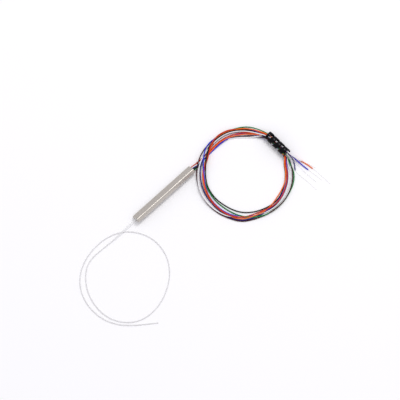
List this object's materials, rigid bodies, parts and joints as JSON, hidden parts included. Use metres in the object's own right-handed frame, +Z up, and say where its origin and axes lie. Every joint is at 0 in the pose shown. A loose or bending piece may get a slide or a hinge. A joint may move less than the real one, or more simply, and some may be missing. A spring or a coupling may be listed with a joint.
{
  "type": "plc fibre splitter",
  "caption": "Slim steel-tube planar optical splitter with a loose input fibre and coloured output fibres coiled and held by a black spiral wrap.",
  "frame": {"origin": "on the surface that the module rests on, under the middle of its steel tube", "axes": "+X along the module from its input end to its output end, +Y across it, +Z up"},
  "size_m": [0.2073, 0.09, 0.007],
  "materials": {
    "stainless_tube": "rolled stainless sheet with a fine grain along the tube",
    "seal_silicone": "matt off-white silicone",
    "bed_silicone": "translucent soft silicone",
    "fused_silica": "lapped edges, polished faces",
    "chip_silica": "polished silica on quartz",
    "coated_fibre": "clear acrylate coating",
    "natural_tube": "natural loose tube, satin",
    "blue_tube": "coloured loose tube, satin",
    "orange_tube": "coloured loose tube, satin",
    "green_tube": "coloured loose tube, satin",
    "brown_tube": "coloured loose tube, satin",
    "slate_tube": "coloured loose tube, satin",
    "white_tube": "coloured loose tube, satin",
    "red_tube": "coloured loose tube, satin",
    "black_tube": "coloured loose tube, satin",
    "gathered_cords": "coloured loose tubes lying together",
    "wrap_polyethylene": "black polyethylene, slightly glossy"
  },
  "bodies": {
    "root": {"steel_tube": "stainless_tube", "input_end_seal": "seal_silicone", "output_end_seal": "seal_silicone", "adhesive_bed": "bed_silicone", "input_v_groove_block": "fused_silica", "input_block_lid": "fused_silica", "chip_cover_glass": "fused_silica", "output_v_groove_block": "fused_silica", "output_block_lid": "fused_silica", "plc_chip": "chip_silica", "inner_input_fibre": "coated_fibre", "output_ribbon": "coated_fibre", "input_fibre": "natural_tube", "blue_lead": "blue_tube", "orange_lead": "orange_tube", "green_lead": "green_tube", "brown_lead": "brown_tube", "slate_lead": "slate_tube", "white_lead": "white_tube", "red_lead": "red_tube", "black_lead": "black_tube", "output_coil": "gathered_cords", "spiral_wrap": "wrap_polyethylene", "blue_tail": "blue_tube", "orange_tail": "orange_tube", "slate_tail": "slate_tube", "white_tail": "white_tube", "blue_bare_fibre": "coated_fibre", "orange_bare_fibre": "coated_fibre", "green_bare_fibre": "coated_fibre", "brown_bare_fibre": "coated_fibre", "slate_bare_fibre": "coated_fibre", "white_bare_fibre": "coated_fibre", "red_bare_fibre": "coated_fibre", "black_bare_fibre": "coated_fibre"}
  },
  "joints": []
}
